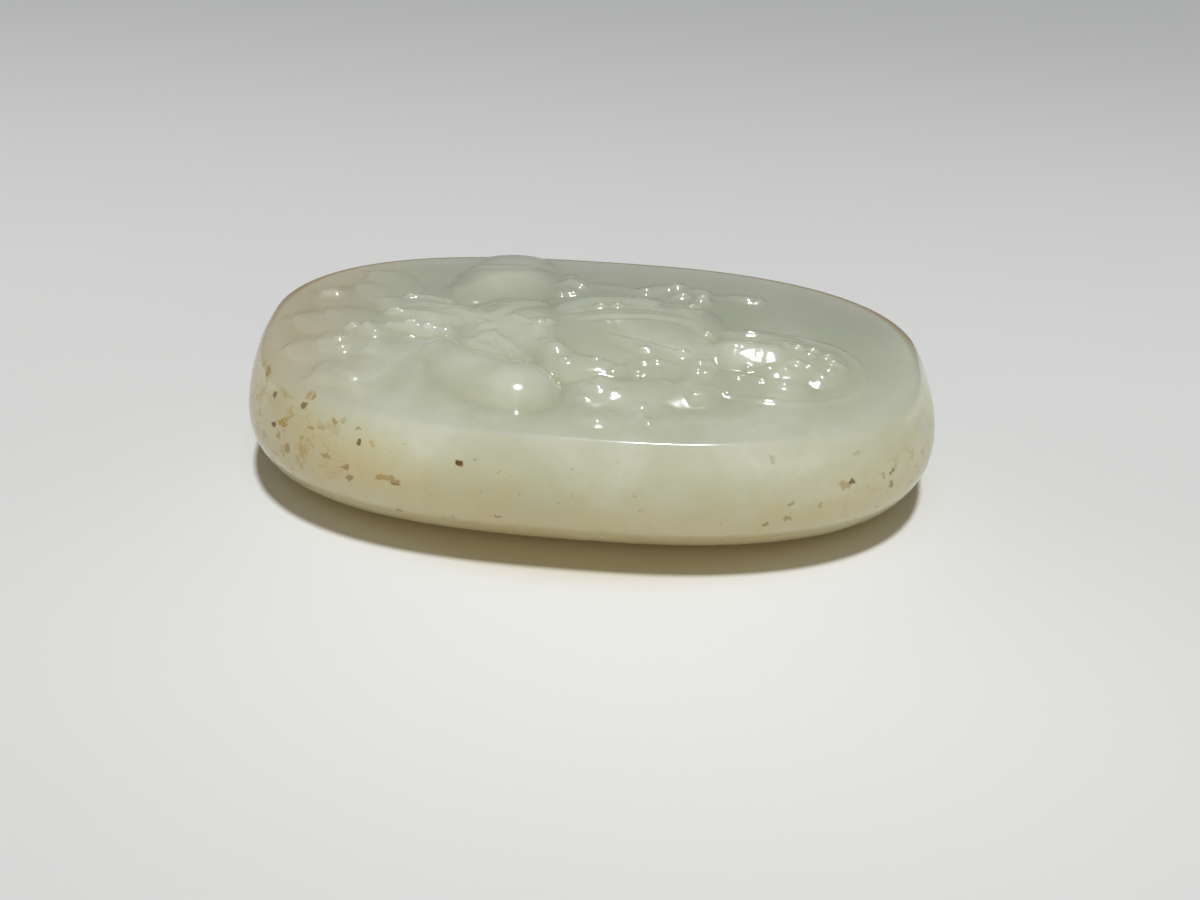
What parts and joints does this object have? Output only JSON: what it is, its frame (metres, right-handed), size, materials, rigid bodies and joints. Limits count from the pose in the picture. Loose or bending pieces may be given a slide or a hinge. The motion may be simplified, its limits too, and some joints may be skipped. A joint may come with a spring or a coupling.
{
  "type": "pendant",
  "caption": "Long oval jade pebble pendant, flat underneath, its face carved in relief with a seated bodhisattva before a halo, on a lotus throne",
  "frame": {"origin": "centre of the bounding box in plan, on the flat back that the pendant lies on", "axes": "+X along the pendant towards the figure's head, +Y across it towards the viewer's left of the upright figure, +Z out of the carved face"},
  "size_m": [0.0584, 0.0324, 0.0129],
  "materials": {
    "jade": "pale celadon nephrite jade with a waxy polish, translucent, with russet skin at the foot end"
  },
  "bodies": {
    "root": {"jade_pendant": "jade"}
  },
  "joints": []
}
